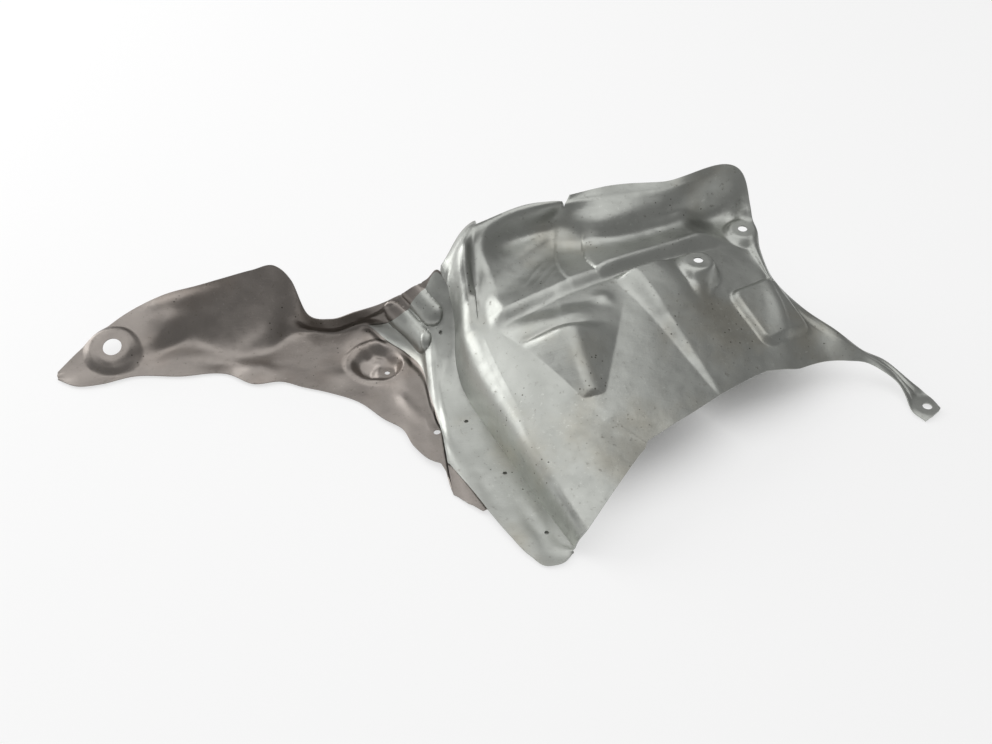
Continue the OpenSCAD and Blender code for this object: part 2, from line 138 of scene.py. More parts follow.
# The share of the panel's first station that the front edge stands back, against the section.
FRONT_BACK = [[1, 0], [3, 0], [4, 0.12], [5, 0.2], [6, 0.22], [7, 0.2], [8, 0.12], [9, 0], [16, 0]]

# Places and rises of the pressed forms.
TUBE_LINE = [[9, -22], [176, 67]]
TUBE_START = -15
TUBE_STEPS = [50, 74]
TUBE_END = [160, 192]
TUBE_H = 11
NOSE_EDGE = [[3, -30], [52, -83]]
NOSE_FAR_EDGE = [[92, 0], [73, -88]]
NOSE_TIP = [67, -87]
NOSE_CREASE = [[16, -43], [50, -36]]
NOSE_H = 11
STEP_FOOT = [[91, 2], [154, -72]]
STEP_FACE = 13
STEP_H = 8
PAD_CENTRE = [199, 11]
PAD_SIZE = [48, 48]
PAD_TURN = 34.8
PAD_CORNER = 9
PAD_H = 4
BOSS_CENTRE = [147, 21]
BOSS_SIZE = [11, 19]
BOSS_H = 4
UPPER_BEAD = [[-62, 28, 54], [-46, 12, 45]]
LOWER_BEAD = [[-75, 24, 37], [-53, 2, 28]]
BEAD_W = 9
BEAD_H = 4
CUP_CENTRE = [-88, 0]
CUP_SIZE = [21, 15]
CUP_TURN = -24
CUP_H = 5
DISH_SIZE = [20, 17]
DISH_H = 3
RING_BEAD_H = 3
RING_GROOVE = 4
# Small forms: a bump's place, size and rise, and a ridge's line, width and rise. A dent or a groove has
# a rise below zero.
PANEL_BUMPS = [((76, -7), (10, 8), 2)]
PANEL_RIDGES = [
    ([[112, -20], [150, -8]], 5, -0.8),
    ([[20, 8], [33, 34]], 1.6, 0.35),
    ([[26, 5], [38, 30]], 1.6, 0.35),
    ([[32, 2], [43, 26]], 1.6, 0.35),
]
ARM_BUMPS = [
    ((-247, 34), (16, 12), 2.5),
    ((-176, -3), (20, 11), 2.5),
    ((-205, 8), (18, 10), -1.5),
    ((-113, -8), (14, 12), 1.5),
]
ARM_RIDGES = [
    ([[-297, -5], [-258, 13]], 5, -1.5),
    ([[-258, 13], [-229, 33]], 5, -1.5),
    ([[-260, 43], [-205, 51]], 4, 1.8),
    ([[-196, 16], [-168, 30]], 5, 1.5),
    ([[-99, 15], [-82, 2]], 2.5, 1.2),
    ([[-70, -34], [-52, -62]], 4, 1.0),
]

# The photograph's view: how far down it looks, from how many metres, and its scale.
VIEW_DOWN = math.radians(40)
VIEW_METRES = 1.1
PIXELS_PER_MM = 1.35
PHOTO_WIDTH = 992
SENSOR = 36

# Lamps: place in metres, size and power.
LAMPS = {
    "left_window": ((-1.6, 0.8, 0.7), 1.6, 26),
    "overhead": ((-0.15, 0.2, 2.0), 2.4, 20),
}
WORLD_LEVEL = 0.3
# Half the floor's width in metres, its white, and the share of plain white that the camera sees.
FLOOR_HALF = 4
FLOOR_WHITE = 0.95
PLAIN_WHITE = 0.65
# Places on the floor under the panel where only the lamps light it: x, y and radius.
UNDERSIDE = [(70, -30, 130), (165, 20, 110)]

# Colour and stain of each metal, and its roughness.
PANEL_METAL = ((0.42, 0.43, 0.405), (0.36, 0.33, 0.26), 0.4)
ARM_METAL = ((0.28, 0.255, 0.235), (0.24, 0.2, 0.17), 0.4)
GRIME = (0.11, 0.095, 0.07)
SPECK = (0.05, 0.045, 0.035)


def knots(points):
    """Distances along a list of points, or mean distances between the sections of a net."""
    gaps = np.linalg.norm(np.diff(points, axis=0), axis=-1)
    return np.concatenate([[0], np.cumsum(gaps if gaps.ndim == 1 else gaps.mean(1))])


def weights(u, at):
    """Indices and weights of the four points that shape a smooth curve at each place."""
    last = len(at) - 1
    i = np.clip(np.floor(u).astype(int), 0, last - 1)
    f = u - i
    index = np.stack([np.maximum(i - 1, 0), i, i + 1, np.minimum(i + 2, last)], -1)
    before, here, after = (np.diff(at[index], axis=-1)[..., k] for k in range(3))
    start, stop = f * (1 - f) ** 2, -f * f * (1 - f)
    rise = f * f * (3 - 2 * f)
    inner, outer = np.maximum(before, 1e-9), np.maximum(after, 1e-9)
    a = np.where(before > 0, here / (inner + here), 0)
    b = np.where(after > 0, here / (outer + here), 0)
    share = np.stack([
        -start * a * here / inner,
        1 - rise - start * (1 - a) + start * a * here / inner - stop * (1 - b),
        rise + start * (1 - a) + stop * (1 - b) - stop * b * here / outer,
        stop * b * here / outer], -1)
    return index, share


def curve(points, u):
    points = np.asarray(points, float)
    index, share = weights(np.asarray(u, float), knots(points))
    return np.einsum("...k,...kc->...c", share, points[index])


def net(points, s, t):
    """Smooth surface through a net of points."""
    s, t = np.broadcast_arrays(s, t)
    i, a = weights(s, knots(points))
    j, b = weights(t, knots(points.transpose(1, 0, 2)))
    return np.einsum("...k,...l,...klc->...c", a, b, points[i[..., :, None], j[..., None, :]])


def unit(v):
    return v / np.maximum(np.linalg.norm(v, axis=-1, keepdims=True), 1e-9)


def smooth(low, high, value):
    t = np.clip((value - low) / (high - low), 0, 1)
    return t * t * (3 - 2 * t)


def round_up(width, value):
    """A rise with a sharp foot and a round top."""
    t = np.clip(value / width, 0, 1)
    return np.sqrt(t * (2 - t))


def soft_min(a, b, k):
    h = np.maximum(0, k - np.abs(a - b)) / k
    return np.minimum(a, b) - h * h * k / 4


def left_of(x, y, line):
    """Distance of plan points to the left of a line."""
    (ax, ay), (bx, by) = line
    return ((bx - ax) * (y - ay) - (by - ay) * (x - ax)) / math.dist(*line)


def along(x, y, line):
    (ax, ay), (bx, by) = line
    return ((bx - ax) * (x - ax) + (by - ay) * (y - ay)) / math.dist(*line)


def turned(x, y, centre, degrees):
    """Plan points in the frame of a turned form."""
    c, s = math.cos(math.radians(degrees)), math.sin(math.radians(degrees))
    x, y = x - centre[0], y - centre[1]
    return x * c + y * s, y * c - x * s


def oval(x, y, size):
    return np.hypot(x / size[0], y / size[1])


def mix(a, b, share):
    return a + (b - a) * np.asarray(share)[..., None]


def landed(points, name):
    """Blends the sheet into the flat land round a hole."""
    place, slope, d = HOLES[name]
    dx, dy = points[..., 0] - place[0], points[..., 1] - place[1]
    r = d / 2 + LANDS[name]
    share = 1 - smooth(r, r + LAND_BLEND, np.hypot(dx, dy))
    out = points.copy()
    out[..., 2] += share * (place[2] + slope[0] * dx + slope[1] * dy - points[..., 2])
    return out


def tube_form(x, y):
    """The long tube cover: a sloped left end, two rounded steps and a fade to the right."""
    u, v = along(x, y, TUBE_LINE), left_of(x, y, TUBE_LINE)
    across = 0.007 * (np.maximum(0, v) - 5) ** 2
    rise = (0.55 * smooth(0, 15, u - TUBE_START - 0.2 * v) + 0.1 * smooth(0, 4, u - TUBE_STEPS[0] - across)
            + 0.35 * round_up(16, u - TUBE_STEPS[1] - across))
    return TUBE_H * rise * smooth(-3, 8, v) * (1 - smooth(*TUBE_END, u))


def nose_form(x, y):
    """The half-cone nose: sloping faces that meet in a ridge, and a groove across its upper end."""
    sides = soft_min(0.5 * left_of(x, y, NOSE_EDGE), -0.38 * left_of(x, y, NOSE_FAR_EDGE), 5)
    top = soft_min(1.3 * along(x, y, [NOSE_TIP, NOSE_CREASE[1]]), NOSE_H, 2)
    before = -left_of(x, y, NOSE_CREASE)
    fade = 0.45 * smooth(-24, -6, before) + 0.55 * smooth(-2, 9, before)
    groove = 1.2 * np.exp(-(before / 2.5) ** 2) * smooth(0, 6, along(x, y, NOSE_CREASE)) * (
        1 - smooth(38, 50, along(x, y, NOSE_CREASE)))
    return np.maximum(0, soft_min(sides, top, 2)) * fade - groove


def step_form(x, y):
    """The long step, whose height falls to nothing at the front."""
    q = np.clip(along(x, y, STEP_FOOT) / math.dist(*STEP_FOOT), 0, 1)
    right = left_of(x, y, STEP_FOOT)
    face = smooth(0, 1, right / (STEP_FACE * (1 - q) + 3))
    return STEP_H * (1 - q) * face * (1 - smooth(30, 65, right)) * smooth(1, 9, -left_of(x, y, TUBE_LINE))


def pad_form(x, y):
    """The square pad with round corners."""
    a, b = turned(x, y, PAD_CENTRE, PAD_TURN)
    a = np.abs(a) - PAD_SIZE[0] / 2 + PAD_CORNER
    b = np.abs(b) - PAD_SIZE[1] / 2 + PAD_CORNER
    inside = PAD_CORNER - np.hypot(np.maximum(0, a), np.maximum(0, b)) - np.minimum(0, np.maximum(a, b))
    return PAD_H * smooth(0, 6, inside)


def boss_form(x, y):
    return BOSS_H * (1 - smooth(0.45, 1, oval(x - BOSS_CENTRE[0], y - BOSS_CENTRE[1], BOSS_SIZE)))


def ring_form(s, t):
    """The panel's left end: a bead along the wall and a groove behind it."""
    bead = RING_BEAD_H * smooth(0.3, 0.6, s) * (1 - smooth(0.7, 1, s))
    groove = RING_GROOVE * smooth(0.75, 1, s) * (1 - smooth(1, 1.35, s))
    return smooth(2.7, 3.1, t) * (1 - smooth(4.2, 4.8, t)) * (bead - groove)


def bead_form(points, line):
    """Rise of a round bead along a line in space."""
    start, run = np.array(line[0]), np.subtract(line[1], line[0])
    share = np.clip((points - start) @ run / (run @ run), 0, 1)
    away = np.linalg.norm(points - start - share[..., None] * run, axis=-1)
    return BEAD_H * np.sqrt(np.maximum(0, 1 - (away / BEAD_W) ** 2))


def cup_form(x, y):
    r = oval(*turned(x, y, CUP_CENTRE, CUP_TURN), CUP_SIZE)
    return CUP_H * (0.2 * smooth(1.35, 1.1, r) - 1.2 * smooth(1.05, 0.55, r))


def dish_form(x, y):
    centre = HOLES["stud"][0]
    return DISH_H * smooth(1.15, 0.8, oval(x - centre[0], y - centre[1], DISH_SIZE))


def bump(x, y, centre, size, height):
    return height * np.exp(-2 * oval(x - centre[0], y - centre[1], size) ** 2)


def ridge(x, y, line, width, height):
    """A narrow rise along a line, or a groove where its height is below zero."""
    share = np.clip(along(x, y, line) / math.dist(*line), 0, 1)
    (ax, ay), (bx, by) = line
    away = np.hypot(x - ax - (bx - ax) * share, y - ay - (by - ay) * share)
    return height * np.exp(-((away / width) ** 2)) * np.sin(math.pi * np.clip(share, 0.02, 0.98)) ** 0.5


def small_forms(x, y, bumps, ridges):
    """Small dents, lumps, wrinkles and creases."""
    rise = sum(bump(x, y, *form) for form in bumps)
    return rise + sum(ridge(x, y, *form) for form in ridges)


def panel_forms(x, y):
    pressed = nose_form(x, y) + step_form(x, y) + pad_form(x, y) + boss_form(x, y)
    return pressed + small_forms(x, y, PANEL_BUMPS, PANEL_RIDGES)


def arm_forms(x, y):
    return cup_form(x, y) + dish_form(x, y) + small_forms(x, y, ARM_BUMPS, ARM_RIDGES)


# The arm's net runs on under the lap, where each section ends on the panel's foot.
LAP_SECTIONS = np.concatenate([np.array(FLANGE_POINTS, float), curve(FOOT, FLANGE_STATIONS)[:, None]], 1)
ARM_NET = np.concatenate([np.array(ARM_SECTIONS, float), LAP_SECTIONS])
FIRST_FLANGE = len(ARM_SECTIONS)
LAST_SECTION = len(ARM_NET) - 1
STRAIGHT_END = LAST_SECTION - WEDGE_EDGE[0][0]
WEDGE_END = len(WEDGE_EDGE) - 1


def normal_of(face, s, t, step=0.05):
    """Upward normal of a face that is given as a function of section and station."""
    across = face(s + step, t) - face(s - step, t)
    return unit(np.cross(across, face(s, t + step) - face(s, t - step)))


def lookup(value, table):
    table = np.array(table, float)
    return np.interp(value, table[:, 0], table[:, 1])


def lap_face(s, t):
    """The face that the two sheets share along the lap, with its two beads."""
    points = net(ARM_NET, s, t)
    rise = bead_form(points, UPPER_BEAD) + bead_form(points, LOWER_BEAD)
    return points + rise[..., None] * normal_of(lambda a, b: net(ARM_NET, a, b), s, t)


def lap_normal(s, t):
    return normal_of(lap_face, s, t)


def lap_section(station):
    """The arm's section that meets the foot at a station."""
    sections = FIRST_FLANGE + np.arange(len(FLANGE_STATIONS))
    return np.interp(-np.asarray(station, float), -np.array(FLANGE_STATIONS), sections)


def wedge_bow(turn, share):
    return WEDGE_BULGE * turn * np.sin(math.pi * share)


def flange_point(v, share):
    """The flange from the front corner to the wedge's upper edge, from the foot outwards."""
    v, share = np.broadcast_arrays(v, share)
    k = np.maximum(0, v - STRAIGHT_END)
    edge = curve(WEDGE_EDGE, k)
    start = np.stack([WEDGE_EDGE[0][0] - k / WEDGE_END, np.full(k.shape, 4.0)], -1)
    fan = mix(start, edge, share)
    s = np.where(k > 0, fan[..., 0], LAST_SECTION - v)
    t = np.where(k > 0, fan[..., 1] + wedge_bow(k / WEDGE_END, share), 4 - 4 * share)
    return lap_face(s, t)


def high_edge(s):
    """Station of the wedge's upper edge at a section of the arm."""
    share = np.linspace(1, 0, 40)
    line = mix(np.array([WEDGE_EDGE[0][0] - 1, 4.0]), np.array(WEDGE_EDGE[-1], float), share)
    return np.interp(s, line[:, 0], line[:, 1] + wedge_bow(1, share))


def under_flange(s, t):
    """1 where the arm lies under the flange, 0 where it lies in the open."""
    low = t - lookup(s, WEDGE_EDGE[:1:-1])
    fan = smooth(-0.4, -0.12, low) * (1 - smooth(0.6, 0.95, t - high_edge(s))) * smooth(9.9, 10.3, s)
    return np.maximum(smooth(15.6, 15.9, s), fan)


def arm_point(s, t):
    s, t = np.broadcast_arrays(s, t)
    start = lookup(s, TAIL_IN)
    stop = 4 + (TAIL_STOP - 4) * smooth(14, 15, s)
    u = start + t / 4 * (stop - start)
    points = lap_face(s, u)
    out = unit(points - lap_face(s, u + 0.3))
    stretch = (lookup(s, TAIL_OUT) * np.maximum(0, 1 - t))[..., None]
    points += stretch * out * np.array([1, 1, 0]) - 0.1 * stretch * np.array([0, 0, 1])
    points -= LIFT * under_flange(s, u)[..., None] * lap_normal(s, u)
    points[..., 2] += arm_forms(points[..., 0], points[..., 1])
    for name in ("stud", "drain"):
        points = landed(points, name)
    points[..., 2] = np.maximum(0, points[..., 2])
    return points


def blend(a, b, start, end, s):
    """Smooth curve between two points with given directions at its ends."""
    return (1 + s * s * (2 * s - 3)) * a + s * s * (3 - 2 * s) * b + s * (1 - s) * ((1 - s) * start - s * end)


def shoulder_point(s, t):
    """The long wall, which leaves the foot steeply and rounds over into the plateau."""
    a, b, c = curve(FOOT, t), curve(PANEL_SECTIONS[0], t), curve(PANEL_SECTIONS[1], t)
    run = np.linalg.norm(b - a, axis=-1)
    start = 0.6 * (b - a)
    start[..., 2] += 0.8 * run * (1 - smooth(3.5, 4.5, t))
    return blend(a, b, start, 1.1 * run[..., None] * unit(c - b), s[..., None])


def plateau_point(s, t):
    sections = np.array(PANEL_SECTIONS, float)
    right = net(sections[NOTCH_SECTION - 1:], np.maximum(s - NOTCH_SECTION, 0), t)
    points = mix(net(sections, s - 1, t), right, smooth(4.8, 5.6, t) * (s >= NOTCH_SECTION))
    x, y = points[..., 0], points[..., 1]
    points[..., 2] += tube_form(x, y) * (1 - smooth(3, 4, t)) + panel_forms(x, y)
    for name in ("right", "middle", "strap"):
        points = landed(points, name)
    points[..., 2] = np.maximum(0, points[..., 2])
    return points


def panel_point(s, t):
    s, t = (v.astype(float) for v in np.broadcast_arrays(s, t))
    t = t + lookup(s, FRONT_BACK) * np.maximum(0, 1 - t)
    shoulder = shoulder_point(np.minimum(s, 1), t)
    points = np.where((s < 1)[..., None], shoulder, plateau_point(np.maximum(s, 1), t))
    points[..., 2] += ring_form(s, t)
    return points


def steps(counts, first):
    places = [first + k + np.arange(n) / n for k, n in enumerate(counts)]
    return np.concatenate(places + [np.array([first + len(counts)])])


def add_object(name, points, faces):
    mesh = bpy.data.meshes.new(name)
    mesh.from_pydata(((points + PLACE) * MM).tolist(), [], faces)
    mesh.validate()
    obj = bpy.data.objects.new(name, mesh)
    bpy.context.scene.collection.objects.link(obj)
    return obj


def rim_of(ids):
    return np.concatenate([ids[:, 0], ids[-1, 1:], ids[-2::-1, -1], ids[0, -2:0:-1]])


def quads(ids):
    return np.stack([ids[:-1, :-1], ids[1:, :-1], ids[1:, 1:], ids[:-1, 1:]], -1).reshape(-1, 4)


def sheet(name, grid):
    """Closed sheet on a grid of points: a fine upper face, a coarser lower one and a thin rim."""
    m, n = grid.shape[:2]
    normal = unit(np.cross(np.gradient(grid, axis=0), np.gradient(grid, axis=1)))
    top = grid + normal * SHEET_T / 2
    low = grid - normal * SHEET_T / 2
    rows = np.unique(np.append(np.arange(0, m, COARSE), m - 1))
    columns = np.unique(np.append(np.arange(0, n, COARSE), n - 1))
    points = [top.reshape(-1, 3)]
    top_ids = np.arange(m * n).reshape(m, n)
    low_ids = np.full((m, n), -1)
    keep = np.zeros((m, n), bool)
    keep[np.ix_(rows, columns)] = True
    keep[0] = keep[-1] = True
    keep[:, 0] = keep[:, -1] = True
    low_ids[keep] = m * n + np.arange(keep.sum())
    points.append(low[keep])
    faces = quads(top_ids).tolist()
    for a, b in zip(rows[:-1], rows[1:]):
        for c, d in zip(columns[:-1], columns[1:]):
            left = low_ids[b:a - 1 if a else None:-1, c] if c == 0 else low_ids[[b, a], c]
            front = low_ids[a, c + 1:d] if a == 0 else []
            right = low_ids[a:b + 1, d] if d == n - 1 else low_ids[[a, b], d]
            back = low_ids[b, d - 1:c:-1] if b == m - 1 else []
            faces.append([int(v) for v in [*left, *front, *right, *back]])
    rim_top, rim_low = rim_of(top_ids), rim_of(low_ids)
    faces += np.stack([np.roll(rim_top, -1), rim_top, rim_low, np.roll(rim_low, -1)], -1).tolist()
    return add_object(name, np.concatenate(points), faces)


def prism(outline, low, high):
    """Points and faces of an upright prism over a plan outline."""
    n = len(outline)
    points = [(x, y, z) for z in (low, high) for x, y in outline]
    sides = [[k, (k + 1) % n, n + (k + 1) % n, n + k] for k in range(n)]
    return points, [list(range(n))[::-1], list(range(n, 2 * n))] + sides


def drill(place, axis, d):
    """Points and faces of a drill that crosses the sheet."""
    angles = np.linspace(0, 2 * math.pi, 48, endpoint=False)
    points, faces = prism([(d / 2 * math.cos(a), d / 2 * math.sin(a)) for a in angles], -REACH, REACH)
    turn = Vector(axis).to_track_quat("Z", "Y")
    return [Vector(place) + turn @ Vector(p) for p in points], faces


def clinch_places():
    rows = lap_section([c[0] for c in CLINCHES])
    shares = np.array([4 * c[1] for c in CLINCHES])
    return lap_face(rows, shares), lap_normal(rows, shares)


def hole_drills(names):
    """Drills for named holes, each at right angles to its land."""
    holes = [HOLES[name] for name in names]
    return [drill(place, (-slope[0], -slope[1], 1), d) for place, slope, d in holes]


def clinch_drills(d):
    return [drill(place, axis, d) for place, axis in zip(*clinch_places())]


def cut(obj, cutters):
    """Cuts holes in a sheet and leaves it as a plain mesh."""
    points, faces = [], []
    for p, f in cutters:
        faces += [[v + len(points) for v in face] for face in f]
        points += [tuple(v) for v in p]
    tool = add_object(obj.name + "_tool", np.array(points, float), faces)
    step = obj.modifiers.new("holes", "BOOLEAN")
    step.operation = "DIFFERENCE"
    step.solver = "MANIFOLD"
    step.object = tool
    mesh = bpy.data.meshes.new_from_object(obj.evaluated_get(bpy.context.evaluated_depsgraph_get()))
    obj.modifiers.remove(step)
    obj.data = mesh
    bpy.data.objects.remove(tool)
    clean(mesh)
    shade(obj)


def clean(mesh):
    """Drops the pairs of triangles, back to back, that a cut can leave on its wall."""
    cage = bmesh.new()
    cage.from_mesh(mesh)
    bmesh.ops.triangulate(cage, faces=cage.faces)
    alike = {}
    for face in cage.faces:
        corners = frozenset(tuple(round(c / MM, 4) for c in corner.co) for corner in face.verts)
        alike.setdefault(corners, []).append(face)
    pairs = [face for faces in alike.values() if len(faces) > 1 for face in faces]
    bmesh.ops.delete(cage, geom=pairs, context="FACES")
    cage.to_mesh(mesh)
    cage.free()


def shade(obj, degrees=40):
    mesh = obj.data
    mesh.polygons.foreach_set("use_smooth", [True] * len(mesh.polygons))
    mesh.set_sharp_from_angle(angle=math.radians(degrees))


def cup_tree():
    """Geometry nodes that put a drawn cup on every clinch point."""
    tree = bpy.data.node_groups.new("clinch_cups", "GeometryNodeTree")
    face = tree.interface
    face.new_socket("Geometry", in_out="INPUT", socket_type="NodeSocketGeometry")
    sizes = {"Cup diameter": CLINCH_D * MM, "Wall": SHEET_T * MM, "Depth": CLINCH_DEPTH * MM}
    for name in sizes:
        face.new_socket(name, in_out="INPUT", socket_type="NodeSocketFloat")
    face.new_socket("Material", in_out="INPUT", socket_type="NodeSocketMaterial")
    face.new_socket("Geometry", in_out="OUTPUT", socket_type="NodeSocketGeometry")
    nodes, links = tree.nodes, tree.links
    source, result = nodes.new("NodeGroupInput"), nodes.new("NodeGroupOutput")

    def feed(socket, value):
        if isinstance(value, bpy.types.NodeSocket):
            links.new(value, socket)
        else:
            socket.default_value = value

    def math_node(operation, a, b):
        node = nodes.new("ShaderNodeMath")
        node.operation = operation
        feed(node.inputs[0], a)
        feed(node.inputs[1], b)
        return node.outputs[0]

    def cylinder(radius, height, lift):
        node = nodes.new("GeometryNodeMeshCylinder")
        node.inputs["Vertices"].default_value = 40
        links.new(radius, node.inputs["Radius"])
        links.new(height, node.inputs["Depth"])
        move = nodes.new("GeometryNodeTransform")
        at = nodes.new("ShaderNodeCombineXYZ")
        feed(at.inputs["Z"], lift)
        links.new(node.outputs["Mesh"], move.inputs["Geometry"])
        links.new(at.outputs[0], move.inputs["Translation"])
        return move.outputs[0]

    cup, wall, depth = (source.outputs[n] for n in sizes)
    outer = math_node("MULTIPLY", cup, 0.5)
    inner = math_node("SUBTRACT", outer, wall)
    bore = cylinder(inner, math_node("MULTIPLY", wall, 2 * DIMPLE), 0.0)
    length = math_node("ADD", depth, math_node("MULTIPLY", wall, CUP_SEAT))
    body = cylinder(outer, length, math_node("MULTIPLY", depth, -0.5))
    hollow = nodes.new("GeometryNodeMeshBoolean")
    hollow.operation = "DIFFERENCE"
    links.new(body, hollow.inputs["Mesh 1"])
    links.new(bore, hollow.inputs["Mesh 2"])
    normal = nodes.new("GeometryNodeInputNamedAttribute")
    normal.data_type = "FLOAT_VECTOR"
    normal.inputs["Name"].default_value = "facing"
    turn = nodes.new("FunctionNodeAlignRotationToVector")
    turn.axis = "Z"
    links.new(normal.outputs["Attribute"], turn.inputs["Vector"])
    spread = nodes.new("GeometryNodeInstanceOnPoints")
    links.new(source.outputs["Geometry"], spread.inputs["Points"])
    links.new(hollow.outputs["Mesh"], spread.inputs["Instance"])
    links.new(turn.outputs["Rotation"], spread.inputs["Rotation"])
    realize, finish = nodes.new("GeometryNodeRealizeInstances"), nodes.new("GeometryNodeSetMaterial")
    links.new(spread.outputs["Instances"], realize.inputs["Geometry"])
    links.new(realize.outputs["Geometry"], finish.inputs["Geometry"])
    links.new(source.outputs["Material"], finish.inputs["Material"])
    links.new(finish.outputs["Geometry"], result.inputs["Geometry"])
    return tree, sizes


def clinch_cups(material):
    places, normals = clinch_places()
    obj = add_object("clinch_cups", places, [])
    facing = obj.data.attributes.new("facing", "FLOAT_VECTOR", "POINT")
    facing.data.foreach_set("vector", normals.ravel())
    tree, sizes = cup_tree()
    step = obj.modifiers.new("cups", "NODES")
    step.node_group = tree
    sockets = {i.name: i.identifier for i in tree.interface.items_tree if i.in_out == "INPUT"}
    for name, value in sizes.items():
        step[sockets[name]] = value
    step[sockets["Material"]] = material
    mesh = bpy.data.meshes.new_from_object(obj.evaluated_get(bpy.context.evaluated_depsgraph_get()))
    obj.modifiers.remove(step)
    obj.data = mesh
    shade(obj)
    return obj


class Shader:
    """Short helpers for building one material from nodes."""

    def __init__(self, name):
        self.material = bpy.data.materials.new(name)
        self.material.use_nodes = True
        self.nodes = self.material.node_tree.nodes
        self.links = self.material.node_tree.links
        self.surface = self.nodes["Principled BSDF"]
        self.place = self.nodes.new("ShaderNodeTexCoord").outputs["Object"]

    def put(self, socket, value):
        if isinstance(value, bpy.types.NodeSocket):
            self.links.new(value, socket)
        else:
            socket.default_value = value

    def noise(self, scale, detail=4, rough=0.55, place=None):
        node = self.nodes.new("ShaderNodeTexNoise")
        self.put(node.inputs["Vector"], self.place if place is None else place)
        self.put(node.inputs["Scale"], scale)
        self.put(node.inputs["Detail"], detail)
        self.put(node.inputs["Roughness"], rough)
        return node.outputs["Fac"]

    def cells(self, scale):
        node = self.nodes.new("ShaderNodeTexVoronoi")
        self.put(node.inputs["Vector"], self.place)
        self.put(node.inputs["Scale"], scale)
        return node.outputs["Distance"]

    def stretched(self, turn, scale):
        node = self.nodes.new("ShaderNodeMapping")
        self.put(node.inputs["Vector"], self.place)
        self.put(node.inputs["Rotation"], tuple(math.radians(a) for a in turn))
        self.put(node.inputs["Scale"], scale)
        return node.outputs["Vector"]

    def ramp(self, value, low, high, out_low=0.0, out_high=1.0):
        node = self.nodes.new("ShaderNodeMapRange")
        node.interpolation_type = "SMOOTHSTEP"
        for k, v in enumerate((value, low, high, out_low, out_high)):
            self.put(node.inputs[k], v)
        return node.outputs["Result"]

    def math(self, operation, a, b=0.0):
        node = self.nodes.new("ShaderNodeMath")
        node.operation = operation
        self.put(node.inputs[0], a)
        self.put(node.inputs[1], b)
        return node.outputs[0]

    def blend(self, share, a, b, kind="MIX"):
        node = self.nodes.new("ShaderNodeMix")
        node.data_type = "RGBA"
        node.blend_type = kind
        self.put(node.inputs[0], share)
        self.put(node.inputs[6], (*a, 1) if isinstance(a, tuple) else a)
        self.put(node.inputs[7], (*b, 1) if isinstance(b, tuple) else b)
        return node.outputs[2]

    def bump(self, height, strength, distance, below=None):
        node = self.nodes.new("ShaderNodeBump")
        self.put(node.inputs["Height"], height)
        self.put(node.inputs["Strength"], strength)
        self.put(node.inputs["Distance"], distance)
        if below is not None:
            self.put(node.inputs["Normal"], below)
        return node.outputs["Normal"]

    def spot(self, place, radius, rough=1.0):
        """A soft patch round a place of the shield, 1 in its middle."""
        node = self.nodes.new("ShaderNodeVectorMath")
        node.operation = "DISTANCE"
        self.put(node.inputs[0], self.place)
        self.put(node.inputs[1], tuple((np.array(place) + PLACE) * MM))
        wobble = self.math("MULTIPLY", self.math("SUBTRACT", self.noise(60), 0.5), rough * radius * MM)
        return self.ramp(self.math("ADD", node.outputs["Value"], wobble), radius * MM, 0.2 * radius * MM)


def aluminium(name, colour, stain, rough):
    """Dull pressed aluminium with fine grain, specks, rubs and stains."""
    m = Shader(name)
    mottle = m.ramp(m.noise(45, 6, 0.6), 0.3, 0.7)
    base = m.blend(m.math("MULTIPLY", mottle, 0.22), colour, tuple(0.72 * c for c in colour))
    patches = m.ramp(m.noise(14, 4), 0.5, 0.72)
    base = m.blend(m.math("MULTIPLY", patches, 0.45), base, stain)
    dust = m.math("MULTIPLY", m.ramp(m.noise(330, 5, 0.75), 0.56, 0.72), m.ramp(m.noise(22), 0.42, 0.62))
    base = m.blend(m.math("MULTIPLY", dust, 0.45), base, tuple(min(1.0, 1.7 * c) for c in colour))
    grime = m.ramp(m.noise(240, 5, 0.7), 0.58, 0.74)
    base = m.blend(m.math("MULTIPLY", grime, 0.4), base, GRIME)
    specks = m.math("MULTIPLY", m.ramp(m.cells(210), 0.16, 0.1), m.ramp(m.noise(26), 0.5, 0.6))
    base = m.blend(m.math("MULTIPLY", specks, 0.75), base, SPECK)
    m.put(m.surface.inputs["Base Color"], base)
    m.put(m.surface.inputs["Metallic"], 1.0)
    worn = m.ramp(m.noise(70, 6, 0.65), 0.3, 0.7, rough - 0.06, rough + 0.08)
    m.put(m.surface.inputs["Roughness"], m.math("ADD", worn, m.math("MULTIPLY", grime, 0.2)))
    waves = m.bump(m.noise(30, 2), 0.45, 0.0016)
    dents = m.bump(m.noise(120, 3), 0.45, 0.0003, waves)
    scratches = m.noise(60, 3, 0.5, m.stretched((0, 0, 35), (1, 14, 1)))
    grain = m.bump(m.math("ADD", scratches, m.noise(800, 3)), 0.35, 0.00012, dents)
    m.put(m.surface.inputs["Normal"], grain)
    return m.material


def camera():
    """Looks down at the shield from the front, as the photograph does."""
    data = bpy.data.cameras.new("camera")
    data.sensor_fit = "HORIZONTAL"
    data.sensor_width = SENSOR
    data.lens = SENSOR * PIXELS_PER_MM * VIEW_METRES / MM / PHOTO_WIDTH
    cam = bpy.data.objects.new("camera", data)
    bpy.context.scene.collection.objects.link(cam)
    back = Vector((0, -math.cos(VIEW_DOWN), math.sin(VIEW_DOWN)))
    cam.location = Vector(PLACE) * MM + back * VIEW_METRES
    cam.rotation_mode = "QUATERNION"
    cam.rotation_quaternion = (-back).to_track_quat("-Z", "Y")
    bpy.context.scene.camera = cam


